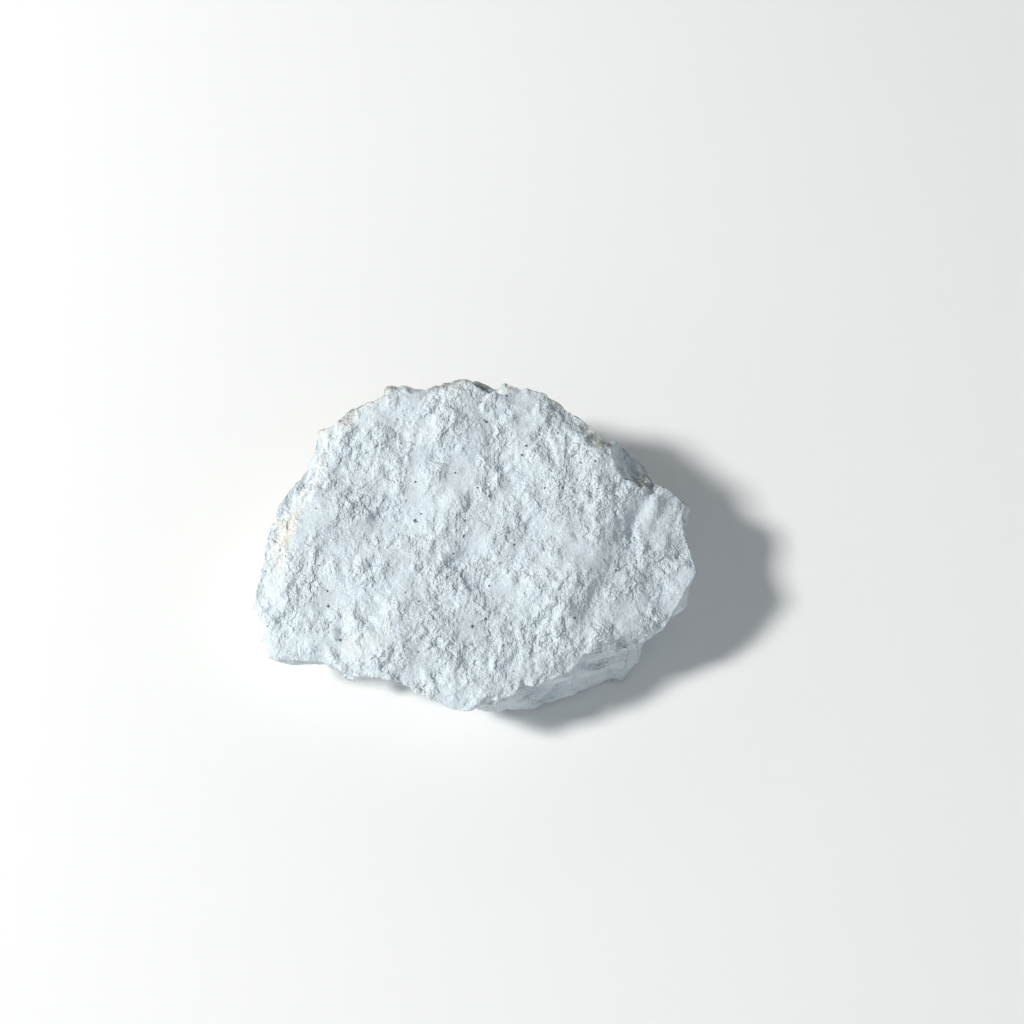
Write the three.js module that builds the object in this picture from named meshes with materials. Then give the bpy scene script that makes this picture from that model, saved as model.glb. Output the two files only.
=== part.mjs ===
// White limestone: one broken block, lying on its flatter side with its broad rough face up.
// Millimetres, +Z up, +X along the length, and the origin on the ground under the middle.
//
// The block starts as a box grid. Its top becomes the broad face, its four sides the wall that
// runs round under the rim, and its underside the bed that the block rests on. Then each point
// is drawn in along a line to the block's middle, as far as the first fracture that it meets.

import * as THREE from "three";
import { mergeVertices } from "three/addons/utils/BufferGeometryUtils.js";

// The broad face, at the middle of the block, and how it falls away to the front, right and left.
const FACE_HEIGHT = 42;
const FACE_FALL_TO_FRONT = Math.tan(THREE.MathUtils.degToRad(10));
const RIGHT_SHOULDER = { x: 39, lean: 0.19, slope: 0.19, ease: 14 };
const LEFT_FALL = { x: -30, slope: 0.12, ease: 14 };

// The rim, anticlockwise from the right end: its place x and y, how far it lies under the face,
// and how far the foot of the wall under it is set back (a minus stands out).
const RIM = [
  [90, -9, 0, 8],
  [88, 1, 1, 7],
  [85, 10, 2, 7],
  [85, 16, 2, 7],
  [87, 21, 3, 9],
  [81, 25, 3, 8],
  [74, 31, 3, 6],
  [71, 40, 3, 4],
  [64, 46, 3, 3],
  [52, 45, 3, 2],
  [45, 54, 3, 3],
  [29, 66, 3, 5],
  [17, 69, 3, 3],
  [9, 75, 3, 2],
  [-2, 75, 3, 2],
  [-12, 73, 3, 1],
  [-22, 68, 3, 2],
  [-44, 74, 2, 4],
  [-52, 67, 2, 6],
  [-67, 55, 2, 8],
  [-68, 41, 3, 8],
  [-74, 30, 4, 8],
  [-79, 26, 4, 8],
  [-86, 12, 4, 6],
  [-88, -4, 4, 6],
  [-90, -16, 3, 8],
  [-92, -31, 3, 14],
  [-84, -42, 3, 20],
  [-76, -45, 3, 21],
  [-62, -46, 3, 25],
  [-49, -52, 3, 26],
  [-33, -54, 3, 22],
  [-9, -66, 2, 14],
  [6, -67, 2, 9],
  [20, -60, 2, 4],
  [53, -42, 3, -2],
  [68, -42, 3, -4],
  [75, -37, 3, 8],
  [77, -30, 1, 15],
  [85, -17, 0, 15],
];
const RIM_ROUNDING = 0.16; // share of the way in from the rim over which the face rolls over
const FOOT_CURVE = 1.1; // how the set-back grows down the wall

// Swells and hollows of the face: x, y, half-width and height.
const SWELLS = [
  [32, -14, 18, 2.6],
  [-31, -38, 16, 2.4],
  [-15, 14, 14, 1.6],
  [52, 36, 12, 2.0],
  [-49, 18, 9, 1.3],
  [54, -8, 7, 1.4],
  [53, 5, 8, 1.2],
  [14, -61, 14, 3.0],
  [92, -14, 14, 3.0],
  [63, 12, 8, 1.0],
  [47, 44, 6, 1.0],
  [-19, -10, 6, 1.0],
  [-35, 15, 14, -3.2],
  [-1, -8, 9, -2.0],
  [-24, -50, 8, -1.4],
  [8, 42, 9, -2.2],
  [-33, 46, 6, -2.0],
  [-52, 32, 8, -1.5],
  [2, 57, 6, -1.9],
  [-19, 37, 8, -1.7],
  [-22, 18, 7, -1.3],
  [-31, -10, 6, -1.4],
  [19, 2, 9, -1.6],
  [-11, -26, 7, -1.5],
  [-19, -54, 7, -1.5],
  [73, -14, 8, -2.2],
  [43, -22, 6, -1.2],
  [26, 48, 7, -1.1],
  [-71, -37, 5, -1.2],
];
// The troughs that run down the right of the face: both ends, half-width and depth.
const TROUGHS = [
  { from: [66, 14], to: [42, -37], halfWidth: 6, depth: 2.2 },
  { from: [75, 29], to: [65, 12], halfWidth: 3, depth: 1.1 },
  { from: [79, 21], to: [71, 3], halfWidth: 3, depth: 1.0 },
];

// Flat fractures: a point on each and the way it faces.
const JOINT_FACES = [
  { at: [-2, 75, 47], faces: [0.02, 0.74, 0.67] },
  { at: [-76.5, 36, 40], faces: [-0.7, 0.12, 0.7] },
  { at: [-47, 66, 46], faces: [-0.42, 0.6, 0.68] },
  { at: [-86, -12, 15], faces: [-0.92, -0.1, -0.36] },
  { at: [-79, -39, 8], faces: [-0.7, -0.6, -0.4] },
  { at: [-62, -36, 6], faces: [-0.2, -0.77, -0.6] },
  { at: [14, -60, 9], faces: [0.1, -0.9, -0.42] },
  { at: [40, -49, 14], faces: [0.42, -0.9, 0.06] },
  { at: [65, -44, 6], faces: [0.5, -0.66, -0.56] },
  { at: [82, -20, 14], faces: [0.88, -0.3, -0.36] },
  { at: [83, 10, 10], faces: [0.88, 0.2, -0.42] },
  { at: [38, 60.5, 24], faces: [0.5, 0.86, -0.1] },
  { at: [54, 38, 8], faces: [0.52, 0.6, -0.6] },
  { at: [22, 67, 18], faces: [0.3, 0.93, -0.2] },
  { at: [-8, 70, 12], faces: [-0.1, 0.86, -0.5] },
  { at: [-50, 62, 26], faces: [-0.6, 0.79, -0.1] },
  { at: [-66, 40, 12], faces: [-0.7, 0.5, -0.5] },
];
// Shell-shaped fractures: the middle and radius of the ball that each one follows.
const SHELL_FACES = [
  { heart: [83, 49, 61], radius: 31 },
  { heart: [61, 90, 16], radius: 41 },
  { heart: [-31, -70, -3], radius: 30 },
  { heart: [4, -98, 2], radius: 41 },
  { heart: [124, 12, 8], radius: 41 },
  { heart: [-120, 16, 8], radius: 40 },
];
const EDGE_SOFTNESS = 0.012; // how softly two fractures meet, as a share of the way out

// Lumps: the longest, the number of halvings, how much of its height each one keeps, and the
// height on the face and on the fractures.
const LUMP_LENGTH = 34;
const LUMP_OCTAVES = 3;
const LUMP_FADE = 0.44;
const FACE_LUMPS = 2.3;
const FRACTURE_LUMPS = 1.8;
const NOISE_GAIN = 1.6; // brings the noise out to about -1 and 1

// Chips: how sharply one meets the next, and their size and steepness on the wall and on the
// fractures.
const CHIP_SHARPNESS = 9;
const WALL_CHIPS = { size: 21, steepness: 0.75, seed: 45 };
const FRACTURE_CHIPS = { size: 14, steepness: 0.5, seed: 43 };

// The bed: how far its hollows rise off the ground, how much of it touches, its flat spot, and
// how steeply the hollows close towards its edge.
const BED_HOLLOWS = 6;
const BED_CONTACT = 0.1;
const BED_SPOT = 16;
const BED_EDGE = 6;

const MIDDLE_HEIGHT = 19; // the block's middle, towards which fractures cut
const MIDDLE_REACH = 0.5; // how far out towards the rim that middle spreads
const GRID_ROUND = 42; // grid steps along each side of the box
const GRID_DOWN = 8; // and down its walls
const GRID_MERGE = 0.0001; // grid points closer than this are one point
const WALL_FROM = 0.999; // a grid point this far out lies on the wall

// The random starts of the lumps, and how far a chip's heart wanders from its cell's middle.
const FACE_SEED = 11;
const FRACTURE_SEED = 29;
const HEART_WANDER = 0.4;

// The steps from a lattice cell to itself and its neighbours.
const STEPS = [-1, 0, 1];
const NEAR_CELLS = STEPS.flatMap((i) => STEPS.flatMap((j) => STEPS.map((k) => [i, j, k])));

// A repeatable slope for each corner of a cubic lattice, three numbers from -1 to 1.
function cornerSlope(i, j, k, seed) {
  let mixed = Math.imul(i, 374761393) + Math.imul(j, 668265263) + Math.imul(k, 1274126177);
  mixed += Math.imul(seed, 974634777);
  mixed = Math.imul(mixed ^ (mixed >>> 13), 1103515245);
  mixed = Math.imul(mixed ^ (mixed >>> 16), 2246822519);
  mixed = (mixed ^ (mixed >>> 15)) >>> 0;
  return [mixed & 1023, (mixed >>> 10) & 1023, (mixed >>> 20) & 1023].map((n) => n / 511.5 - 1);
}

const ease = (t) => t * t * t * (t * (t * 6 - 15) + 10);
const mix = THREE.MathUtils.lerp;

// Smooth noise from about -1 to 1: each lattice corner's slope, blended across its cell.
function noise(x, y, z, seed) {
  const cell = [Math.floor(x), Math.floor(y), Math.floor(z)];
  const inside = [x - cell[0], y - cell[1], z - cell[2]];
  const corner = (i, j, k) => {
    const slope = cornerSlope(cell[0] + i, cell[1] + j, cell[2] + k, seed);
    return slope[0] * (inside[0] - i) + slope[1] * (inside[1] - j) + slope[2] * (inside[2] - k);
  };
  const [u, v, w] = inside.map(ease);
  const row = (j, k) => mix(corner(0, j, k), corner(1, j, k), u);
  const layer = (k) => mix(row(0, k), row(1, k), v);
  return NOISE_GAIN * mix(layer(0), layer(1), w);
}

// Lumps on lumps: each octave has half the length and about half the height of the one before.
function lumps(point, seed) {
  let sum = 0;
  for (let octave = 0; octave < LUMP_OCTAVES; octave += 1) {
    const scale = 2 ** octave / LUMP_LENGTH;
    sum += LUMP_FADE ** octave * noise(point.x * scale, point.y * scale, point.z * scale, seed + octave);
  }
  return sum;
}

// Tilted flat chips: every lattice cell has a heart and a tilt of its own. The height at a point
// is the mean of the near cells' tilted planes, each weighted by a steep bell of its distance.
function chips(point, { size, steepness, seed }) {
  const place = point.clone().divideScalar(size);
  const cell = place.clone().floor();
  let height = 0;
  let weight = 0;
  for (const [i, j, k] of NEAR_CELLS) {
    const near = [cell.x + i, cell.y + j, cell.z + k];
    const wander = new THREE.Vector3(...cornerSlope(...near, seed)).multiplyScalar(HEART_WANDER);
    const heart = wander.addScalar(0.5);
    const away = place.clone().sub(new THREE.Vector3(...near)).sub(heart);
    const share = Math.exp(-CHIP_SHARPNESS * away.lengthSq());
    height += share * away.dot(new THREE.Vector3(...cornerSlope(...near, seed + 1)));
    weight += share;
  }
  return (steepness * size * height) / weight;
}

// The rim at one bearing from the middle, in straight shares between its points: its place, its
// drop and the set-back of its foot.
const stations = RIM.map((values) => ({ bearing: Math.atan2(values[1], values[0]), values })).sort(
  (a, b) => a.bearing - b.bearing,
);

function rimAt(bearing) {
  const after = stations.findIndex((station) => station.bearing > bearing);
  const next = stations[Math.max(after, 0)];
  const last = stations[after > 0 ? after - 1 : stations.length - 1];
  const turn = (angle) => THREE.MathUtils.euclideanModulo(angle, 2 * Math.PI);
  const share = turn(bearing - last.bearing) / turn(next.bearing - last.bearing);
  const [x, y, drop, setBack] = last.values.map((value, i) => mix(value, next.values[i], share));
  return { place: new THREE.Vector2(x, y), drop, setBack };
}

// The depth of one trough at a place: a bell across its line, fading beyond its two ends.
function troughDepth({ from, to, halfWidth, depth }, x, y) {
  const start = new THREE.Vector2(...from);
  const run = new THREE.Vector2(...to).sub(start);
  const place = new THREE.Vector2(x, y).sub(start);
  const along = THREE.MathUtils.clamp(place.dot(run) / run.lengthSq(), 0, 1);
  const away = place.distanceTo(run.multiplyScalar(along)) / halfWidth;
  return depth * Math.exp(-away * away);
}

// The height of one swell at a place: a round bell, and a hollow where its height is a minus.
function swellHeight([middleX, middleY, halfWidth, height], x, y) {
  return height * Math.exp(-((x - middleX) ** 2 + (y - middleY) ** 2) / halfWidth ** 2);
}

// The broad face's height at a place, before the rim rolls it over.
function faceHeight(x, y) {
  const past = Math.max(0, x - RIGHT_SHOULDER.x - RIGHT_SHOULDER.lean * y);
  const shoulderFall = (RIGHT_SHOULDER.slope * past * past) / (past + RIGHT_SHOULDER.ease);
  const left = Math.max(0, LEFT_FALL.x - x);
  const leftFall = (LEFT_FALL.slope * left * left) / (left + LEFT_FALL.ease);
  const raised = SWELLS.reduce((sum, swell) => sum + swellHeight(swell, x, y), 0);
  const sunk = TROUGHS.reduce((sum, trough) => sum + troughDepth(trough, x, y), 0);
  return FACE_HEIGHT + FACE_FALL_TO_FRONT * y - shoulderFall - leftFall + raised - sunk;
}

// The unbroken block at a grid point. a and b run across the box from -1 to 1, and c is 1 on
// its top, -1 on its underside and between them on its walls.
function unbroken(a, b, c) {
  const across = new THREE.Vector2(a * Math.sqrt(1 - (b * b) / 2), b * Math.sqrt(1 - (a * a) / 2));
  const out = Math.min(across.length(), 1);
  const rim = rimAt(Math.atan2(across.y, across.x));
  const down = (1 - c) / 2;
  const reach = out * (1 - (rim.setBack / rim.place.length()) * down ** FOOT_CURVE);
  const point = new THREE.Vector3(rim.place.x * reach, rim.place.y * reach, 0);
  const roll = THREE.MathUtils.smoothstep(out, 1 - RIM_ROUNDING, 1) * rim.drop;
  point.z = (faceHeight(point.x, point.y) - roll) * (1 - down);
  const rough = lumps(point, FACE_SEED);
  if (c === -1) {
    const spot = THREE.MathUtils.smoothstep(Math.hypot(point.x, point.y), BED_SPOT, 2 * BED_SPOT);
    point.z = Math.max(0, BED_HOLLOWS * (rough - BED_CONTACT)) * (1 - out ** BED_EDGE) * spot;
  } else {
    const onWall = out > WALL_FROM;
    const swelling = onWall ? Math.sin(Math.PI * down) * chips(point, WALL_CHIPS) : 0;
    const outward = rim.place.normalize();
    point.x += swelling * outward.x;
    point.y += swelling * outward.y;
    point.z += FACE_LUMPS * rough * (1 - down);
  }
  const core = new THREE.Vector3(point.x * MIDDLE_REACH, point.y * MIDDLE_REACH, MIDDLE_HEIGHT);
  return { point, core };
}

// How far along the line from core to point a flat fracture lies, with its own lumps.
function reachOfJoint({ at, faces }, core, line, roughness) {
  const normal = new THREE.Vector3(...faces).normalize();
  const closing = normal.dot(line);
  if (closing <= 0) return Infinity;
  const gap = normal.dot(new THREE.Vector3(...at).sub(core)) + roughness;
  return gap / closing;
}

// And a shell-shaped one, at the near side of its ball.
function reachOfShell({ heart, radius }, core, line, roughness) {
  const offset = core.clone().sub(new THREE.Vector3(...heart));
  const square = line.lengthSq();
  const half = offset.dot(line);
  const inner = half * half - square * (offset.lengthSq() - (radius - roughness) ** 2);
  if (half >= 0 || inner <= 0) return Infinity;
  return (-half - Math.sqrt(inner)) / square;
}

// The broken block at a grid point: the unbroken one, drawn in as far as the first fracture. The
// soft least of the fractures' reaches rounds the edges where two of them meet.
function broken(a, b, c) {
  const { point, core } = unbroken(a, b, c);
  const line = point.clone().sub(core);
  const roughness = FRACTURE_LUMPS * lumps(point, FRACTURE_SEED) + chips(point, FRACTURE_CHIPS);
  const reaches = [
    1,
    ...JOINT_FACES.map((joint) => reachOfJoint(joint, core, line, roughness)),
    ...SHELL_FACES.map((shell) => reachOfShell(shell, core, line, roughness)),
  ];
  const soft = reaches.reduce((sum, reach) => sum + Math.exp((1 - reach) / EDGE_SOFTNESS), 0);
  const reach = Math.min(1 - EDGE_SOFTNESS * Math.log(soft), 1);
  return core.addScaledVector(line, reach);
}

function limestoneGeometry() {
  const box = new THREE.BoxGeometry(2, 2, 2, GRID_ROUND, GRID_ROUND, GRID_DOWN);
  box.deleteAttribute("normal");
  box.deleteAttribute("uv");
  const stone = mergeVertices(box, GRID_MERGE);
  const grid = stone.getAttribute("position");
  for (let i = 0; i < grid.count; i += 1) {
    const point = broken(grid.getX(i), grid.getY(i), grid.getZ(i));
    grid.setXYZ(i, point.x, point.y, point.z);
  }
  stone.computeBoundingBox();
  const { min, max } = stone.boundingBox;
  stone.translate(-(min.x + max.x) / 2, -(min.y + max.y) / 2, -min.z);
  stone.computeVertexNormals();
  return stone;
}

const limestone = new THREE.Mesh(
  limestoneGeometry(),
  new THREE.MeshStandardMaterial({ color: 0xdfe6e9, roughness: 0.95, metalness: 0 }),
);
limestone.name = "limestone";

const part = new THREE.Group();
part.add(limestone);
export default part;
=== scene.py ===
"""A broken block of white limestone, dressed around its solid model.

The block lies on its flatter side with its broad rough face up, as the solid does. One skin
replaces the solid's plain one. It follows the same named sizes, with the grain of the break on it.
"""

import itertools
import math

import bpy
import numpy as np
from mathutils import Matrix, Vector


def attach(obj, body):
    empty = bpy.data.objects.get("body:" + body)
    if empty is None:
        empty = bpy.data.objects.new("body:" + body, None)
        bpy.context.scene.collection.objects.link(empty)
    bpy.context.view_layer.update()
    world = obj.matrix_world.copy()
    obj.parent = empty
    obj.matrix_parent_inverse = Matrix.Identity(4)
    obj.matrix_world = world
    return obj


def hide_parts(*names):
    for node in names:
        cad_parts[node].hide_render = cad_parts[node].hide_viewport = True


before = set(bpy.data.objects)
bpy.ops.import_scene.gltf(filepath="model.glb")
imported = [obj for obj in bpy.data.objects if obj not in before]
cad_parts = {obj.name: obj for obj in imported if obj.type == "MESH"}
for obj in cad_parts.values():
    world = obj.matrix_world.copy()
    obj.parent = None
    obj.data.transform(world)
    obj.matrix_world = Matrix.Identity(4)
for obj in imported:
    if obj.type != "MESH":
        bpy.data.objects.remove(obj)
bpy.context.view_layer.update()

MM = 0.001

# The block, in millimetres, with the values that its solid is made from.
# The broad face, at the middle of the block, and how it falls away.
FACE_HEIGHT = 42
FACE_FALL_TO_FRONT = math.tan(math.radians(10))
SHOULDER_X = 39
SHOULDER_LEAN = 0.19
SHOULDER_SLOPE = 0.19
SHOULDER_EASE = 14
# The gentle fall of the face's left end: where it starts, its slope and its ease.
LEFT_FALL_X = -30
LEFT_FALL_SLOPE = 0.12
LEFT_FALL_EASE = 14

# The rim, anticlockwise from the right end: its place x and y, how far it lies under the face,
# and how far the foot of the wall under it is set back (a minus stands out).
RIM = [
    (90, -9, 0, 8),
    (88, 1, 1, 7),
    (85, 10, 2, 7),
    (85, 16, 2, 7),
    (87, 21, 3, 9),
    (81, 25, 3, 8),
    (74, 31, 3, 6),
    (71, 40, 3, 4),
    (64, 46, 3, 3),
    (52, 45, 3, 2),
    (45, 54, 3, 3),
    (29, 66, 3, 5),
    (17, 69, 3, 3),
    (9, 75, 3, 2),
    (-2, 75, 3, 2),
    (-12, 73, 3, 1),
    (-22, 68, 3, 2),
    (-44, 74, 2, 4),
    (-52, 67, 2, 6),
    (-67, 55, 2, 8),
    (-68, 41, 3, 8),
    (-74, 30, 4, 8),
    (-79, 26, 4, 8),
    (-86, 12, 4, 6),
    (-88, -4, 4, 6),
    (-90, -16, 3, 8),
    (-92, -31, 3, 14),
    (-84, -42, 3, 20),
    (-76, -45, 3, 21),
    (-62, -46, 3, 25),
    (-49, -52, 3, 26),
    (-33, -54, 3, 22),
    (-9, -66, 2, 14),
    (6, -67, 2, 9),
    (20, -60, 2, 4),
    (53, -42, 3, -2),
    (68, -42, 3, -4),
    (75, -37, 3, 8),
    (77, -30, 1, 15),
    (85, -17, 0, 15),
]
RIM_ROUNDING = 0.16  # share of the way in from the rim over which the face rolls over
FOOT_CURVE = 1.1  # how the set-back grows down the wall

# Swells and hollows of the face: x, y, half-width and height.
SWELLS = [
    (32, -14, 18, 2.6),
    (-31, -38, 16, 2.4),
    (-15, 14, 14, 1.6),
    (52, 36, 12, 2.0),
    (-49, 18, 9, 1.3),
    (54, -8, 7, 1.4),
    (53, 5, 8, 1.2),
    (14, -61, 14, 3.0),
    (92, -14, 14, 3.0),
    (63, 12, 8, 1.0),
    (47, 44, 6, 1.0),
    (-19, -10, 6, 1.0),
    (-35, 15, 14, -3.2),
    (-1, -8, 9, -2.0),
    (-24, -50, 8, -1.4),
    (8, 42, 9, -2.2),
    (-33, 46, 6, -2.0),
    (-52, 32, 8, -1.5),
    (2, 57, 6, -1.9),
    (-19, 37, 8, -1.7),
    (-22, 18, 7, -1.3),
    (-31, -10, 6, -1.4),
    (19, 2, 9, -1.6),
    (-11, -26, 7, -1.5),
    (-19, -54, 7, -1.5),
    (73, -14, 8, -2.2),
    (43, -22, 6, -1.2),
    (26, 48, 7, -1.1),
    (-71, -37, 5, -1.2),
]
# Troughs that run down the right of the face: the x and y of both ends, half-width and depth.
TROUGHS = [
    (66, 14, 42, -37, 6, 2.2),
    (75, 29, 65, 12, 3, 1.1),
    (79, 21, 71, 3, 3, 1.0),
]

# Flat fractures: a point on each and the way it faces.
JOINT_FACES = [
    ((-2, 75, 47), (0.02, 0.74, 0.67)),
    ((-76.5, 36, 40), (-0.7, 0.12, 0.7)),
    ((-47, 66, 46), (-0.42, 0.6, 0.68)),
    ((-86, -12, 15), (-0.92, -0.1, -0.36)),
    ((-79, -39, 8), (-0.7, -0.6, -0.4)),
    ((-62, -36, 6), (-0.2, -0.77, -0.6)),
    ((14, -60, 9), (0.1, -0.9, -0.42)),
    ((40, -49, 14), (0.42, -0.9, 0.06)),
    ((65, -44, 6), (0.5, -0.66, -0.56)),
    ((82, -20, 14), (0.88, -0.3, -0.36)),
    ((83, 10, 10), (0.88, 0.2, -0.42)),
    ((38, 60.5, 24), (0.5, 0.86, -0.1)),
    ((54, 38, 8), (0.52, 0.6, -0.6)),
    ((22, 67, 18), (0.3, 0.93, -0.2)),
    ((-8, 70, 12), (-0.1, 0.86, -0.5)),
    ((-50, 62, 26), (-0.6, 0.79, -0.1)),
    ((-66, 40, 12), (-0.7, 0.5, -0.5)),
]
# Shell-shaped fractures: the middle and radius of the ball that each one follows.
SHELL_FACES = [
    ((83, 49, 61), 31),
    ((61, 90, 16), 41),
    ((-31, -70, -3), 30),
    ((4, -98, 2), 41),
    ((124, 12, 8), 41),
    ((-120, 16, 8), 40),
]
EDGE_SOFTNESS = 0.012  # how softly two fractures meet, as a share of the way out from the middle

# The lattice's random numbers: the odd numbers that multiply its corners' places and the seed, the
# shift and the factor of each round of stirring, the bits of a number, and the largest such number.
PLACE_FACTORS = np.array([374761393, 668265263, 1274126177], dtype=np.uint32)
SEED_FACTOR = 974634777
STIRRINGS = ((13, 1103515245), (16, 2246822519), (15, 1))
WORD = 0xFFFFFFFF
GROUP_BITS = 10
GROUP_LARGEST = 2**GROUP_BITS - 1
# Noise: what brings it out to about -1 and 1.
NOISE_GAIN = 1.6
# Lumps: the longest and the number of halvings, and their height on face, wall and fracture.
LUMP_LENGTH = 34
LUMP_OCTAVES = 3
LUMP_FADE = 0.44
FACE_LUMPS = 2.3
FRACTURE_LUMPS = 1.8
FACE_SEED = 11
FRACTURE_SEED = 29
# Chips: how sharply one meets the next, how far a chip's heart wanders from its cell's middle, and
# their size and steepness on the wall and on the fractures.
CHIP_SHARPNESS = 9
HEART_WANDER = 0.4
CHIP_SIZE = 21
CHIP_STEEPNESS = 0.75
CHIP_SEED = 45
FRACTURE_CHIP_SIZE = 14
FRACTURE_CHIP_STEEPNESS = 0.5
FRACTURE_CHIP_SEED = 43

# The bed: how far its hollows rise off the ground, how much of it touches, its flat spot, and how
# steeply the hollows close towards its edge.
BED_HOLLOWS = 6
BED_CONTACT = 0.1
BED_SPOT = 16
BED_EDGE = 6

MIDDLE_HEIGHT = 19  # the block's middle, towards which fractures cut
MIDDLE_REACH = 0.5  # how far out towards the rim that middle spreads

# The grids: the solid's own, which sets where the block stands, and the skin's.
SOLID_ROUND = 42
SOLID_DOWN = 8
SKIN_ROUND = 240
SKIN_FINE_ROWS = 12
SKIN_COARSE_ROWS = 24
FINE_ROWS_REACH = 0.2  # share of the wall's height that the fine rows cover
WALL_FROM = 0.999  # a grid point this far out lies on the wall

# The grain of the break: lengths of its lumps in mm, and their height as a share of their length,
# the sizes of its small chips and their steepness, and how far it is all pushed about.
GRAIN = ((9.0, 0.03), (5.4, 0.045), (3.2, 0.07), (1.9, 0.09))
CRUMB_SIZES = (8.0, 4.2)
CRUMB_STEEPNESS = 0.11
PUSH_LENGTH = 12
PUSH = 2.0
# Cream tint, a weathered rind with painted warm light where it faces the soft box: the way its side
# faces, how far its border and that of the grey wander, and where it sets in.
CREAM_SIDE = np.array([-0.85, 0.5, 0])
TINT_WANDER = 0.25
CREAM_FROM = 0.05
CREAM_FULL = 0.5
# The grey of the back, a stain with painted shade on the sides that face back: how far back a
# surface faces where it sets in and where it is full, and the band of the rim that it creeps over,
# as a share of the way out, with its strength there.
GREY_FROM = 0.2
GREY_FULL = 0.6
GREY_BAND = 0.9
GREY_CREEP = 0.6
# The pits of the break: the space between them, their half-width, by what share of it they differ,
# and their depth.
PIT_SPACING = 10
PIT_HALF_WIDTH = 1.3
PIT_VARIETY = 0.6
PIT_DEPTH = 0.7
# Hackle: the patches in which the break is rough rather than smooth, their length, how high the
# patches of half that length are beside them, how sharp their borders are, and how far the
# roughness swings either way.
HACKLE_LENGTH = 15
HACKLE_HALVES = 0.7
HACKLE_SHARPNESS = 1.6
HACKLE_SWING = 0.75
# The random starts of the push, layers, crumbs, pits, cream tint, hackle, and grey stain with
# painted shade.
PUSH_SEED = 51
LAYER_SEED = 60
CRUMB_SEED = 71
PIT_SEED = 81
CREAM_SEED = 91
HACKLE_SEED = 95
GREY_SEED = 97


def corner_slope(cell, seed):
    """A repeatable slope for each corner of a cubic lattice, three numbers from -1 to 1.

    The corner's three whole numbers and the seed are each multiplied by a large odd number and
    summed, the bits are stirred, and three groups of ten bits are the three numbers.
    """
    place = (cell.astype(np.int64) & WORD).astype(np.uint32)
    start = np.uint32(seed * SEED_FACTOR & WORD)
    mixed = (place * PLACE_FACTORS[:, None]).sum(axis=0, dtype=np.uint32) + start
    for shift, factor in STIRRINGS:
        mixed = (mixed ^ (mixed >> np.uint32(shift))) * np.uint32(factor)
    groups = [(mixed >> np.uint32(n * GROUP_BITS)) & np.uint32(GROUP_LARGEST) for n in range(3)]
    return np.array(groups) / (GROUP_LARGEST / 2) - 1


def noise(points, seed):
    """Smooth noise from about -1 to 1: each lattice corner's slope, blended across its cell.

    At t of the way across, the far corner's share is six times t to the fifth, less fifteen times
    t to the fourth, plus ten times t to the third.
    """
    cell = np.floor(points)
    inside = points - cell
    u, v, w = inside**3 * (inside * (inside * 6 - 15) + 10)
    total = 0
    for offset in itertools.product((0, 1), repeat=3):
        step = np.array(offset)[:, None]
        height = (corner_slope(cell + step, seed) * (inside - step)).sum(axis=0)
        share = 1
        for near, far in zip((u, v, w), offset):
            share = share * (near if far else 1 - near)
        total = total + share * height
    return NOISE_GAIN * total


def lumps(points, seed):
    """Lumps on lumps: each octave is half as long and about half as high as the one before."""
    octaves = range(LUMP_OCTAVES)
    return sum(LUMP_FADE**n * noise(points * 2**n / LUMP_LENGTH, seed + n) for n in octaves)


def chips(points, size, seed):
    """Tilted flat chips: every lattice cell has a heart and a tilt of its own.

    The height at a point is the mean of the near cells' tilted planes, each weighted by a steep
    bell of its distance, so that one plane holds sway until its neighbour takes over.
    """
    place = points / size
    cell = np.floor(place)
    height = 0
    weight = 0
    for offset in itertools.product((-1, 0, 1), repeat=3):
        near = cell + np.array(offset)[:, None]
        away = place - near - 0.5 - HEART_WANDER * corner_slope(near, seed)
        share = np.exp(-CHIP_SHARPNESS * (away**2).sum(axis=0))
        height = height + share * (corner_slope(near, seed + 1) * away).sum(axis=0)
        weight = weight + share
    return size * height / weight


def smoothstep(value, low, high):
    """Nought under low, one over high, and an S between them."""
    share = np.clip((value - low) / (high - low), 0, 1)
    return share * share * (3 - 2 * share)


def rim_at(bearing):
    """The rim's x, y, drop and set-back at each bearing, in straight shares between its points."""
    rows = np.array(RIM, dtype=float).T
    stations = np.arctan2(rows[1], rows[0])
    return [np.interp(bearing, stations, row, period=2 * math.pi) for row in rows]


def trough_depth(x, y):
    """The troughs' depths in sum: a bell across each one's line, fading beyond its two ends."""
    depth = 0
    for from_x, from_y, to_x, to_y, half_width, deepest in TROUGHS:
        run = np.array([to_x - from_x, to_y - from_y])
        off_x = x - from_x
        off_y = y - from_y
        along = np.clip((off_x * run[0] + off_y * run[1]) / (run @ run), 0, 1)
        away = np.hypot(off_x - along * run[0], off_y - along * run[1]) / half_width
        depth = depth + deepest * np.exp(-(away**2))
    return depth


def swell_height(x, y):
    """The swells' heights in sum: a round bell each, and a hollow where its height is a minus."""
    total = 0
    for middle_x, middle_y, half_width, height in SWELLS:
        away = ((x - middle_x) ** 2 + (y - middle_y) ** 2) / half_width**2
        total = total + height * np.exp(-away)
    return total


def face_height(x, y):
    """The broad face's height: a tilted plane, less shoulder, left fall and troughs, with swells."""
    past = np.maximum(0, x - SHOULDER_X - SHOULDER_LEAN * y)
    shoulder = SHOULDER_SLOPE * past**2 / (past + SHOULDER_EASE)
    left = np.maximum(0, LEFT_FALL_X - x)
    left_fall = LEFT_FALL_SLOPE * left**2 / (left + LEFT_FALL_EASE)
    tilted = FACE_HEIGHT + FACE_FALL_TO_FRONT * y - shoulder - left_fall
    return tilted + swell_height(x, y) - trough_depth(x, y)


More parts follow.
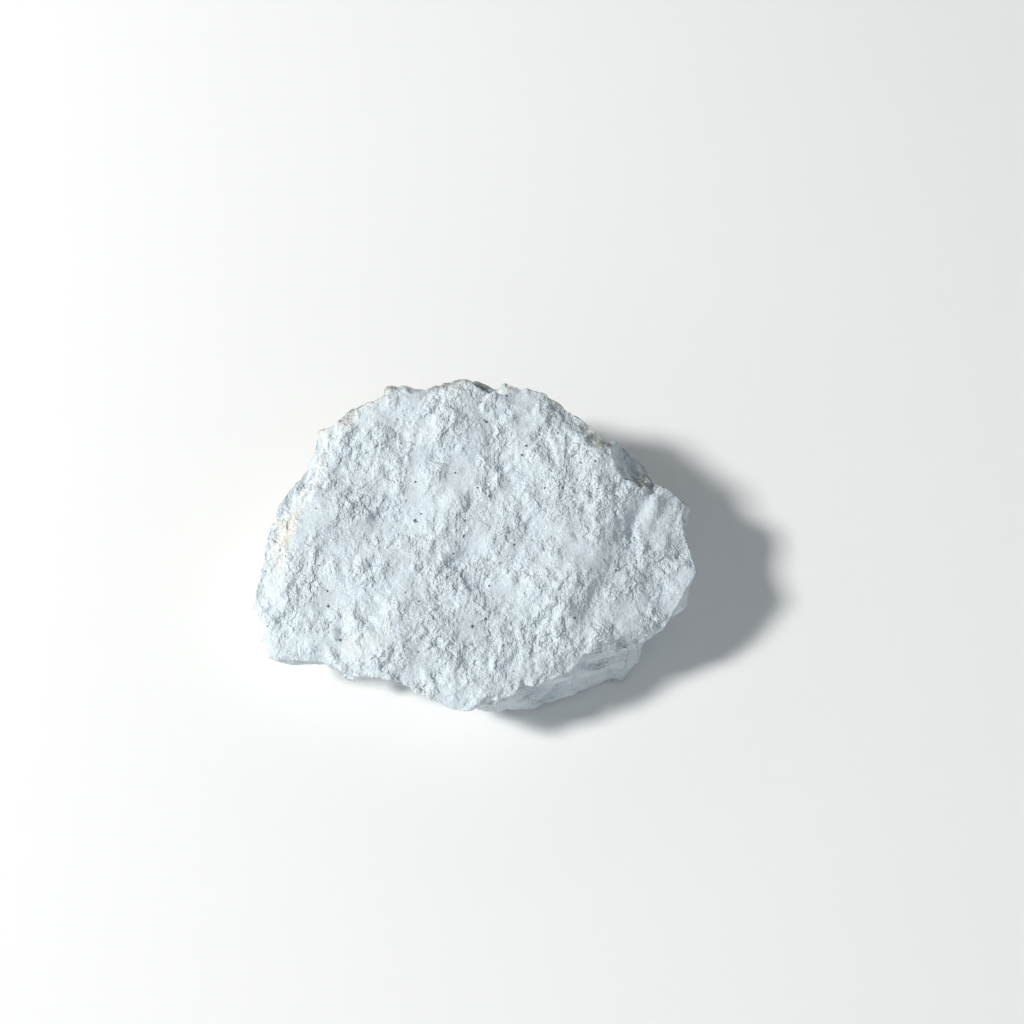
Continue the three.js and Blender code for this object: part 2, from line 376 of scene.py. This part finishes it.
def unbroken(a, b, c):
    """The unbroken block at grid points, and the block's middle that each is drawn in towards.

    a and b run across the box from -1 to 1, squeezed to a disc, and the disc is stretched to the
    rim at each bearing. c is 1 on the top, -1 on the underside and between them on the wall.
    """
    across_x = a * np.sqrt(1 - b**2 / 2)
    across_y = b * np.sqrt(1 - a**2 / 2)
    out = np.minimum(np.hypot(across_x, across_y), 1)
    rim_x, rim_y, drop, set_back = rim_at(np.arctan2(across_y, across_x))
    rim_radius = np.hypot(rim_x, rim_y)
    down = (1 - c) / 2
    reach = out * (1 - set_back / rim_radius * down**FOOT_CURVE)
    x = reach * rim_x
    y = reach * rim_y
    roll = smoothstep(out, 1 - RIM_ROUNDING, 1) * drop
    z = (face_height(x, y) - roll) * (1 - down)
    rough = lumps(np.array([x, y, z]), FACE_SEED)
    chipped = chips(np.array([x, y, z]), CHIP_SIZE, CHIP_SEED)
    on_face = c == 1
    on_bed = c == -1
    on_wall = (out > WALL_FROM) & ~on_bed
    spot = smoothstep(np.hypot(x, y), BED_SPOT, 2 * BED_SPOT)
    hollow = np.maximum(0, BED_HOLLOWS * (rough - BED_CONTACT)) * (1 - out**BED_EDGE) * spot
    z = np.where(on_face | on_wall, z + FACE_LUMPS * rough * (1 - down), z)
    z = np.where(on_bed, hollow, z)
    swelling = np.where(on_wall, CHIP_STEEPNESS * np.sin(math.pi * down) * chipped, 0)
    x = x + swelling * rim_x / rim_radius
    y = y + swelling * rim_y / rim_radius
    middle = np.array([x * MIDDLE_REACH, y * MIDDLE_REACH, np.full_like(x, MIDDLE_HEIGHT)])
    return np.array([x, y, z]), middle


def reach_of_joint(at, faces, middle, line, roughness):
    """How far along the line from the middle a flat fracture lies: gap over closing speed."""
    normal = np.array(faces) / np.linalg.norm(faces)
    closing = normal @ line
    gap = normal @ (np.array(at)[:, None] - middle) + roughness
    return np.where(closing > 0, gap / np.where(closing > 0, closing, 1), np.inf)


def reach_of_shell(heart, radius, middle, line, roughness):
    """How far along the line a shell-shaped fracture lies: the near side of its ball."""
    offset = middle - np.array(heart)[:, None]
    square = (line**2).sum(axis=0)
    half = (offset * line).sum(axis=0)
    inner = half**2 - square * ((offset**2).sum(axis=0) - (radius - roughness) ** 2)
    meets = (half < 0) & (inner > 0)
    return np.where(meets, (-half - np.sqrt(np.maximum(inner, 0))) / square, np.inf)


def broken(a, b, c):
    """The broken block: each unbroken point drawn in as far as the first fracture that it meets.

    The soft least of the fractures' reaches rounds the edges where two of them meet.
    """
    point, middle = unbroken(a, b, c)
    line = point - middle
    chipped = chips(point, FRACTURE_CHIP_SIZE, FRACTURE_CHIP_SEED)
    roughness = FRACTURE_LUMPS * lumps(point, FRACTURE_SEED) + FRACTURE_CHIP_STEEPNESS * chipped
    reaches = [np.ones_like(a)]
    reaches += [reach_of_joint(at, faces, middle, line, roughness) for at, faces in JOINT_FACES]
    reaches += [reach_of_shell(heart, size, middle, line, roughness) for heart, size in SHELL_FACES]
    soft = sum(np.exp(-(reach - 1) / EDGE_SOFTNESS) for reach in reaches)
    reach = np.minimum(1 - EDGE_SOFTNESS * np.log(soft), 1)
    return middle + line * reach


def square_grid(steps):
    """A square of grid points from -1 to 1, row by row, as a and b."""
    ruler = np.linspace(-1, 1, steps + 1)
    a, b = np.meshgrid(ruler, ruler)
    return a.ravel(), b.ravel()


def square_cells(steps):
    """The quads of a square grid, facing up, as the numbers of their four corners."""
    number = np.arange((steps + 1) ** 2).reshape(steps + 1, steps + 1)
    corners = [number[:-1, :-1], number[:-1, 1:], number[1:, 1:], number[1:, :-1]]
    return np.stack([corner.ravel() for corner in corners], axis=1)


def square_edge(steps):
    """The numbers of a square grid's outer points, anticlockwise from its first corner."""
    number = np.arange((steps + 1) ** 2).reshape(steps + 1, steps + 1)
    sides = [number[0, :-1], number[:-1, -1], number[-1, :0:-1], number[:0:-1, 0]]
    return np.concatenate(sides)


def band_cells(upper, lower):
    """The quads of a band between two rings with as many points each, facing out."""
    corners = [upper, lower, np.roll(lower, -1), np.roll(upper, -1)]
    return np.stack(corners, axis=1)


def seam_cells(upper, lower):
    """The triangles of a band whose lower ring has half as many points, three to each lower step."""
    left = upper[::2]
    middle = upper[1::2]
    right = np.roll(left, -1)
    beyond = np.roll(lower, -1)
    fans = [(left, lower, middle), (middle, lower, beyond), (middle, beyond, right)]
    return np.concatenate([np.stack(fan, axis=1) for fan in fans])


def box_grid(steps, rows_above, rows_below):
    """A closed box of grid points a, b and c, with its faces.

    The top has as many steps a side as asked. Rings of points run down the walls, with half as
    many points from the seam down, and the underside has half as many steps a side.
    """
    half = steps // 2
    top_a, top_b = square_grid(steps)
    bed_a, bed_b = square_grid(half)
    top_ring = square_edge(steps)
    bed_ring = square_edge(half)
    depths_above = np.linspace(0, FINE_ROWS_REACH, rows_above + 1)[1:]
    depths_below = np.linspace(FINE_ROWS_REACH, 1, rows_below + 2)[1:-1]
    ring_a = [top_a[top_ring]] * rows_above + [bed_a[bed_ring]] * rows_below
    ring_b = [top_b[top_ring]] * rows_above + [bed_b[bed_ring]] * rows_below
    depths = np.concatenate([depths_above, depths_below])
    ring_c = [np.full(len(ring), 1 - 2 * depth) for ring, depth in zip(ring_a, depths)]
    a = np.concatenate([top_a, *ring_a, bed_a])
    b = np.concatenate([top_b, *ring_b, bed_b])
    c = np.concatenate([np.ones(len(top_a)), *ring_c, -np.ones(len(bed_a))])
    starts = len(top_a) + np.concatenate([[0], np.cumsum([len(ring) for ring in ring_a])])
    rings = [start + np.arange(len(ring)) for start, ring in zip(starts, ring_a)]
    rings = [top_ring, *rings, starts[-1] + bed_ring]
    faces = square_cells(steps).tolist()
    for upper, lower in zip(rings[:-1], rings[1:]):
        join = band_cells if len(upper) == len(lower) else seam_cells
        faces += join(upper, lower).tolist()
    faces += (starts[-1] + square_cells(half)[:, ::-1]).tolist()
    return a, b, c, faces


def standing_shift():
    """How far the block is moved so that the box of the solid's own grid stands on the origin."""
    ruler = np.linspace(-1, 1, SOLID_ROUND + 1)
    walls = np.linspace(-1, 1, SOLID_DOWN + 1)
    a, b, c = (axis.ravel() for axis in np.meshgrid(ruler, ruler, walls, indexing="ij"))
    outer = np.maximum(np.maximum(abs(a), abs(b)), abs(c)) > WALL_FROM
    points = broken(a[outer], b[outer], c[outer])
    low = points.min(axis=1)
    high = points.max(axis=1)
    return np.array([-(low[0] + high[0]) / 2, -(low[1] + high[1]) / 2, -low[2]])


def pits(points, seed):
    """Small round pits: each lattice cell has a heart, and a steep bell of the distance from it."""
    place = points / PIT_SPACING
    cell = np.floor(place)
    deepest = np.zeros(points.shape[1])
    for offset in itertools.product((-1, 0, 1), repeat=3):
        near = cell + np.array(offset)[:, None]
        slope = corner_slope(near, seed)
        away = PIT_SPACING * (place - near - 0.5 - HEART_WANDER * slope)
        width = PIT_HALF_WIDTH * (1 + PIT_VARIETY * slope[0])
        deepest = np.maximum(deepest, np.exp(-((away**2).sum(axis=0)) / width**2))
    return deepest


def hackle(points):
    """How rough the break is at each point, about one: slow noise, with noise of half its length."""
    place = points / HACKLE_LENGTH
    patches = noise(place, HACKLE_SEED) + HACKLE_HALVES * noise(2 * place, HACKLE_SEED + 1)
    return 1 + HACKLE_SWING * np.tanh(HACKLE_SHARPNESS * patches)


def grain(points, rough):
    """The grain of the break: how far each point stands out, in mm, where it is as rough as given.

    The points are first pushed about by slow noise. Smooth noise at each length, as high as its
    share of that length, is added to small tilted chips, and pits are taken away.
    """
    push = np.array([noise(points / PUSH_LENGTH, PUSH_SEED + n) for n in range(3)])
    pushed = points + PUSH * push
    layers = [
        length * share * noise(pushed / length, LAYER_SEED + n)
        for n, (length, share) in enumerate(GRAIN)
    ]
    crumbs = [chips(pushed, size, CRUMB_SEED + 2 * n) for n, size in enumerate(CRUMB_SIZES)]
    fine = sum(layers[1:]) + CRUMB_STEEPNESS * sum(crumbs) - PIT_DEPTH * pits(pushed, PIT_SEED)
    return layers[0] + rough * fine


def rind_and_warm_light(points, normals):
    """How far the cream tint reaches at each point, from nought to one: a weathered rind, with
    painted warm light where the surface faces the soft box on the left.

    It grows with how much the surface faces left and back, away from the fresh break, and lumps of
    noise make its border wander.
    """
    facing = CREAM_SIDE @ normals + TINT_WANDER * lumps(points, CREAM_SEED)
    return smoothstep(facing, CREAM_FROM, CREAM_FULL)


def stain_and_shade(points, normals, a, b):
    """How far the grey reaches at each point, a stain with painted shade where the surface faces
    back: as it faces back, with a border that wanders.

    It creeps over the back of the rim, the more the nearer the point lies to the rim and to the
    very back.
    """
    across_y = b * np.sqrt(1 - a**2 / 2)
    out = np.hypot(a * np.sqrt(1 - b**2 / 2), across_y)
    creep = GREY_CREEP * smoothstep(out, GREY_BAND, 1) * np.maximum(across_y, 0)
    facing = normals[1] + creep + TINT_WANDER * lumps(points, GREY_SEED)
    return smoothstep(facing, GREY_FROM, GREY_FULL)


def set_attribute(mesh, name, values):
    """A number at each point of the mesh, for its material."""
    attribute = mesh.attributes.new(name, "FLOAT", "POINT")
    attribute.data.foreach_set("value", values.astype(np.float32))


def limestone_skin():
    """The block's skin: the broken block on a fine grid, with the grain of the break on it.

    Every point of the broken block moves along its own normal by as much as the grain stands out
    there, and what would lie under the ground is lifted onto it.
    """
    a, b, c, faces = box_grid(SKIN_ROUND, SKIN_FINE_ROWS, SKIN_COARSE_ROWS)
    points = broken(a, b, c)
    mesh = bpy.data.meshes.new("limestone_skin")
    mesh.from_pydata((points.T * MM).tolist(), [], faces)
    flat = np.empty(3 * len(mesh.vertices), dtype=np.float32)
    mesh.vertex_normals.foreach_get("vector", flat)
    normals = flat.reshape(-1, 3).T
    rough = hackle(points)
    set_attribute(mesh, "hackle", rough)
    # The cream tint: a weathered rind, and painted warm light on the sides that face the soft box.
    set_attribute(mesh, "rind_and_warm_light", rind_and_warm_light(points, normals))
    # The grey of the back: a stain, and painted shade where the surface faces back.
    set_attribute(mesh, "stain_and_shade", stain_and_shade(points, normals, a, b))
    points = points + normals * grain(points, rough)
    points = points + standing_shift()[:, None]
    points[2] = np.maximum(points[2], 0)
    mesh.vertices.foreach_set("co", (points.T * MM).ravel())
    mesh.polygons.foreach_set("use_smooth", np.ones(len(mesh.polygons), dtype=bool))
    mesh.update()
    return mesh


def linear(hex_colour):
    """An sRGB hex colour as linear red, green, blue and alpha."""
    parts = [int(hex_colour[i : i + 2], 16) / 255 for i in (1, 3, 5)]
    return [p / 12.92 if p <= 0.04045 else ((p + 0.055) / 1.055) ** 2.4 for p in parts] + [1.0]


def add_node(tree, kind, settings=None, links=None):
    """Add a node, with settings for its properties and inputs, and links from sockets to inputs.

    An input is given by name, or by number where two inputs share a name.
    """
    node = tree.nodes.new(kind)
    for name, value in (settings or {}).items():
        if isinstance(name, int) or name in node.inputs:
            node.inputs[name].default_value = value
        else:
            setattr(node, name, value)
    for name, socket in (links or {}).items():
        tree.links.new(socket, node.inputs[name])
    return node


# The dry stone: how rough it is to light, and how much its surface mirrors.
STONE_ROUGHNESS = 0.92
STONE_MIRRORING = 0.25
# The colours of the stone.
FRESH_BREAK = "#ccd8df"
# Cream: a weathered rind, with painted warm light where the sides face the soft box.
CREAM_RIND_AND_WARM_LIGHT = "#d6d3ca"
# Grey of the back: a stain, with painted shade on the back-facing sides.
GREY_STAIN_AND_SHADE = "#94958f"
PORE_DARK = "#6f7172"
# The material's noise is cut at the middle of its range, and how soft an edge or a border below
# is, is half the width of the cut.
NOISE_MIDDLE = 0.5
# Its cream tint (a rind with painted warm light) and its grey (a stain with painted shade) come in
# blotches: the size of those in mm, their finer layers, how ragged those make them, how soft their
# borders are, what is left between them, and the least of the cream that clings everywhere.
BLOTCH_LAYERS = 4.0
CREAM_BLOTCH = 14
CREAM_RAGGEDNESS = 0.6
CREAM_EDGE = 0.15
CREAM_BETWEEN = 0.4
CREAM_LEAST = 0.08
GREY_BLOTCH = 4
GREY_RAGGEDNESS = 0.7
GREY_EDGE = 0.1
GREY_BETWEEN = 0.4
# Its powder: the size of its grains in mm, their finer layers, how soft their borders are, and how
# much lighter or darker one is than the next.
POWDER_GRAIN = 0.6
POWDER_LAYERS = 1.0
POWDER_EDGE = 0.2
POWDER_TONE = 0.1
# Its crumbs: the size of the largest, how far it stands out, and how much finer ones keep of that.
CRUMB_GRAIN = 1.4
CRUMB_STAND = 0.7
CRUMB_ROUGHNESS = 0.95
CRUMB_LAYERS = 1.2
# Its thin flakes: their size and thickness, their finer layers and how ragged those make them, and
# how soft their edges are.
FLAKE_SIZE = 5
FLAKE_THICKNESS = 0.37
FLAKE_LAYERS = 2.0
FLAKE_RAGGEDNESS = 0.55
FLAKE_EDGE = 0.09
# Its dark pores: how far apart they lie, the chance number of a cell from which it holds one, how
# wide the widest is, how far in its lip reaches, how deep it is, how far its outline wanders and
# the finer layers of that.
PORE_SPACING = 3.4
PORE_CHANCE = 0.45
PORE_RADIUS = 0.8
PORE_LIP = 0.35
PORE_DEPTH = 0.5
PORE_WANDER = 1.0
PORE_WANDER_LAYERS = 1.0
# Dark flecks of its broad face: the x and y of each, in the rim's own frame, and its half-width.
FLECKS = [
    (2.9, 53.0, 0.6),
    (3.9, 52.3, 0.7),
    (-54.0, -38.2, 0.8),
    (-59.4, -24.0, 0.7),
    (-25.1, 10.5, 0.8),
    (-24.2, 9.9, 0.5),
    (20.5, 41.5, 0.6),
    (-65.9, 16.0, 0.5),
    (-60.0, -17.9, 0.6),
    (27.9, 23.3, 0.5),
]


# The sockets of a mix node for colours, by number, as their names repeat.
MIX_SHARE = 0
MIX_UNDER = 6
MIX_OVER = 7
MIX_OUTCOME = 2


def noise_socket(tree, place, size, layers, roughness=0.5, output="Fac"):
    """Noise with lumps of the given size in mm, on which each finer layer keeps a share."""
    settings = {"Scale": 1 / (size * MM), "Detail": layers, "Roughness": roughness}
    return add_node(tree, "ShaderNodeTexNoise", settings, {"Vector": place}).outputs[output]


def math_socket(tree, operation, *values):
    """The outcome of one piece of arithmetic on sockets and plain numbers."""
    node = add_node(tree, "ShaderNodeMath", {"operation": operation})
    for number, value in enumerate(values):
        if isinstance(value, (int, float)):
            node.inputs[number].default_value = value
        else:
            tree.links.new(value, node.inputs[number])
    return node.outputs["Value"]


def range_socket(tree, value, low, high, least=0.0, most=1.0, curve="LINEAR"):
    """A value's way from low to high, as a number from least to most, held at both ends."""
    ends = {"From Min": low, "From Max": high, "To Min": least, "To Max": most}
    settings = {"interpolation_type": curve, **ends}
    return add_node(tree, "ShaderNodeMapRange", settings, {"Value": value}).outputs["Result"]


def cut_socket(tree, noise_value, half_width, least=0.0, most=1.0, curve="LINEAR"):
    """Noise cut at its middle, from least to most over half a width either side of it."""
    low = NOISE_MIDDLE - half_width
    high = NOISE_MIDDLE + half_width
    return range_socket(tree, noise_value, low, high, least, most, curve)


def colour_over(tree, under, hex_colour, share):
    """A colour laid over another one, as thickly as its share says."""
    settings = {"data_type": "RGBA", MIX_OVER: linear(hex_colour)}
    links = {MIX_SHARE: share, MIX_UNDER: under}
    return add_node(tree, "ShaderNodeMix", settings, links).outputs[MIX_OUTCOME]


def attribute_socket(tree, name):
    """A number that the mesh carries at each of its points."""
    return add_node(tree, "ShaderNodeAttribute", {"attribute_name": name}).outputs["Fac"]


def dark_spots(tree, place):
    """How much of a pore's or fleck's mouth lies at each place, from nought to one.

    Pores are the hearts of Voronoi cells, each as wide as its own chance number says. Flecks are
    upright columns through their named places. Noise makes all their outlines wander, and as it
    moves them by half its reach on the mean, the flecks' hearts are moved by as much.
    """
    drift = noise_socket(tree, place, PORE_WANDER, PORE_WANDER_LAYERS, output="Color")
    settings = {"operation": "MULTIPLY_ADD", 1: [PORE_WANDER * MM] * 3}
    moved = add_node(tree, "ShaderNodeVectorMath", settings, {0: drift, 2: place}).outputs["Vector"]
    settings = {"Scale": 1 / (PORE_SPACING * MM)}
    pore = add_node(tree, "ShaderNodeTexVoronoi", settings, {"Vector": moved})
    widest = PORE_RADIUS / PORE_SPACING
    size = range_socket(tree, pore.outputs["Color"], PORE_CHANCE, 1.0, most=widest)
    within = math_socket(tree, "SUBTRACT", size, pore.outputs["Distance"])
    mouth = range_socket(tree, within, 0.0, PORE_LIP / PORE_SPACING, curve="SMOOTHSTEP")
    settings = {"operation": "MULTIPLY", 1: (1, 1, 0)}
    level = add_node(tree, "ShaderNodeVectorMath", settings, {0: moved}).outputs["Vector"]
    shift = standing_shift()[:2] + PORE_WANDER * NOISE_MIDDLE
    for x, y, radius in FLECKS:
        heart = [(x + shift[0]) * MM, (y + shift[1]) * MM, 0]
        settings = {"operation": "DISTANCE", 1: heart}
        away = add_node(tree, "ShaderNodeVectorMath", settings, {0: level})
        lip = (radius - PORE_LIP) * MM
        fleck = range_socket(tree, away.outputs["Value"], radius * MM, lip, curve="SMOOTHSTEP")
        mouth = math_socket(tree, "MAXIMUM", mouth, fleck)
    return mouth


def broken_chalky_limestone():
    """White limestone, freshly broken: dry, matt and powdery, so it has no shine at all.

    Crumbs and thin flakes that the break left standing give it a coarse tooth, rougher in some
    patches than in others, and its powder a fine speckle. A cream tint clings to its sides that face
    left and back, a weathered rind with painted warm light where they face the soft box; a grey
    stain with painted shade creeps over its back, and small dark pores dot it all.
    """
    material = bpy.data.materials.new("broken chalky limestone")
    material.use_nodes = True
    tree = material.node_tree
    shader = tree.nodes["Principled BSDF"]
    shader.inputs["Roughness"].default_value = STONE_ROUGHNESS
    shader.inputs["Specular IOR Level"].default_value = STONE_MIRRORING
    place = add_node(tree, "ShaderNodeTexCoord").outputs["Object"]
    mouth = dark_spots(tree, place)

    blotch = noise_socket(tree, place, CREAM_BLOTCH, BLOTCH_LAYERS, CREAM_RAGGEDNESS)
    patch = cut_socket(tree, blotch, CREAM_EDGE, least=CREAM_BETWEEN)
    # Cream over the sides that face left and back: rind, and painted warm light.
    cream_reach = math_socket(tree, "MAXIMUM", attribute_socket(tree, "rind_and_warm_light"), CREAM_LEAST)
    fresh = add_node(tree, "ShaderNodeRGB")
    fresh.outputs[0].default_value = linear(FRESH_BREAK)
    cream_share = math_socket(tree, "MULTIPLY", cream_reach, patch)
    creamed = colour_over(tree, fresh.outputs[0], CREAM_RIND_AND_WARM_LIGHT, cream_share)
    spots = noise_socket(tree, place, GREY_BLOTCH, BLOTCH_LAYERS, GREY_RAGGEDNESS)
    spotty = cut_socket(tree, spots, GREY_EDGE, least=GREY_BETWEEN)
    # Grey over the back: stain, and painted shade.
    stained_and_shaded = math_socket(tree, "MULTIPLY", attribute_socket(tree, "stain_and_shade"), spotty)
    tinted_and_shaded = colour_over(tree, creamed, GREY_STAIN_AND_SHADE, stained_and_shaded)
    powder = noise_socket(tree, place, POWDER_GRAIN, POWDER_LAYERS)
    tone = cut_socket(tree, powder, POWDER_EDGE, 1 - POWDER_TONE, 1 + POWDER_TONE)
    settings = {"operation": "SCALE"}
    powdered = add_node(tree, "ShaderNodeVectorMath", settings, {0: tinted_and_shaded, "Scale": tone})
    dotted = colour_over(tree, powdered.outputs["Vector"], PORE_DARK, mouth)
    tree.links.new(dotted, shader.inputs["Base Color"])

    crumbs = noise_socket(tree, place, CRUMB_GRAIN, CRUMB_LAYERS, CRUMB_ROUGHNESS)
    sheets = noise_socket(tree, place, FLAKE_SIZE, FLAKE_LAYERS, FLAKE_RAGGEDNESS)
    thick = FLAKE_THICKNESS / CRUMB_STAND
    flakes = cut_socket(tree, sheets, FLAKE_EDGE, most=thick, curve="SMOOTHSTEP")
    tooth = math_socket(tree, "ADD", crumbs, flakes)
    hackled = math_socket(tree, "MULTIPLY", tooth, attribute_socket(tree, "hackle"))
    height = math_socket(tree, "MULTIPLY_ADD", mouth, -PORE_DEPTH / CRUMB_STAND, hackled)
    settings = {"Strength": 1.0, "Distance": CRUMB_STAND * MM}
    bump = add_node(tree, "ShaderNodeBump", settings, {"Height": height})
    tree.links.new(bump.outputs["Normal"], shader.inputs["Normal"])
    return material


# The floor, in metres: the flat rings before its bend, how far out its upright edge stands, how
# wide the bend is and how high the edge rises, and the steps round it and through the bend.
SWEEP_FLAT = [0.4, 0.9]
SWEEP_RADIUS = 2.2
SWEEP_BEND = 0.5
SWEEP_HEIGHT = 1.1
SWEEP_SIDES = 96
BEND_STEPS = 12
PAPER_WHITE = "#f1f2f2"
PAPER_ROUGHNESS = 0.9


def paper_sweep():
    """A plain pale floor that bends up all round, as a profile turned about the upright axis.

    The profile is flat out to the bend, a quarter circle through it, and upright above it.
    """
    turn = np.linspace(0, math.pi / 2, BEND_STEPS + 1)
    bend_out = SWEEP_RADIUS - SWEEP_BEND + SWEEP_BEND * np.sin(turn)
    bend_up = SWEEP_BEND * (1 - np.cos(turn))
    out = np.concatenate([SWEEP_FLAT, bend_out, [SWEEP_RADIUS]])
    height = np.concatenate([np.zeros(len(SWEEP_FLAT)), bend_up, [SWEEP_HEIGHT]])
    around = np.linspace(0, 2 * math.pi, SWEEP_SIDES, endpoint=False)
    x = np.outer(out, np.cos(around))
    y = np.outer(out, np.sin(around))
    z = np.outer(height, np.ones(SWEEP_SIDES))
    points = np.stack([x.ravel(), y.ravel(), z.ravel()], axis=1)
    rings = np.arange(len(points)).reshape(len(out), SWEEP_SIDES)
    faces = [rings[0].tolist()]
    for inner, outer in zip(rings[:-1], rings[1:]):
        faces += band_cells(inner, outer).tolist()
    mesh = bpy.data.meshes.new("floor")
    mesh.from_pydata(points.tolist(), [], faces)
    mesh.polygons.foreach_set("use_smooth", np.ones(len(mesh.polygons), dtype=bool))
    sheet = bpy.data.objects.new("floor", mesh)
    bpy.context.collection.objects.link(sheet)
    material = bpy.data.materials.new("white studio paper")
    material.use_nodes = True
    shader = material.node_tree.nodes["Principled BSDF"]
    shader.inputs["Base Color"].default_value = linear(PAPER_WHITE)
    shader.inputs["Roughness"].default_value = PAPER_ROUGHNESS
    mesh.materials.append(material)


# The camera: its distance in metres, its lens and film in mm, and where it frames the stone.
CAMERA_ELEVATION = math.radians(62)
CAMERA_DISTANCE = 580 * MM
CAMERA_LENS = 50
CAMERA_SENSOR = 36
PICTURE_WIDTH = 1024
STONE_LEFT_OF_MIDDLE = 36.6  # pixels of the photograph
STONE_BELOW_MIDDLE = 15.5


def camera():
    """The camera, looking down at the photograph's angle, with its framing."""
    up = Vector((0, math.sin(CAMERA_ELEVATION), math.cos(CAMERA_ELEVATION)))
    back = Vector((0, -math.cos(CAMERA_ELEVATION), math.sin(CAMERA_ELEVATION)))
    pixel = CAMERA_DISTANCE * CAMERA_SENSOR / CAMERA_LENS / PICTURE_WIDTH
    face_middle = Vector((0, 0, FACE_HEIGHT * MM))
    right = Vector((1, 0, 0))
    aim = face_middle + (right * STONE_LEFT_OF_MIDDLE + up * STONE_BELOW_MIDDLE) * pixel
    data = bpy.data.cameras.new("camera")
    data.lens = CAMERA_LENS
    data.sensor_width = CAMERA_SENSOR
    eye = bpy.data.objects.new("camera", data)
    eye.location = aim + back * CAMERA_DISTANCE
    eye.rotation_euler = (-back).to_track_quat("-Z", "Y").to_euler()
    bpy.context.collection.objects.link(eye)
    bpy.context.scene.camera = eye


# The soft box: where it stands, its width and distance in metres and its power in watts, its colour
# and that of the pale dome, and the dome's strength.
KEY_TOWARD = Vector((-0.77, -0.04, 0.64)).normalized()
KEY_DISTANCE = 2.9
KEY_WIDTH = 0.46
KEY_POWER = 92
KEY_WHITE = "#fffdf9"
DOME_BLUE = "#dee8f3"
DOME_STRENGTH = 0.24


def lights():
    """A soft box on the left, whose light falls off towards the right, and a pale dome."""
    data = bpy.data.lights.new("soft box", "AREA")
    data.energy = KEY_POWER
    data.size = KEY_WIDTH
    data.color = linear(KEY_WHITE)[:3]
    key = bpy.data.objects.new("soft box", data)
    key.location = KEY_TOWARD * KEY_DISTANCE
    key.rotation_euler = KEY_TOWARD.to_track_quat("Z", "Y").to_euler()
    bpy.context.collection.objects.link(key)
    world = bpy.data.worlds.new("pale dome")
    world.use_nodes = True
    background = world.node_tree.nodes["Background"]
    background.inputs["Color"].default_value = linear(DOME_BLUE)
    background.inputs["Strength"].default_value = DOME_STRENGTH
    bpy.context.scene.world = world
    bpy.context.scene.view_settings.view_transform = "Standard"


camera()
lights()
paper_sweep()
skin = limestone_skin()
skin.materials.append(broken_chalky_limestone())
limestone = bpy.data.objects.new("limestone_skin", skin)
bpy.context.collection.objects.link(limestone)
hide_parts("limestone")
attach(limestone, "root")
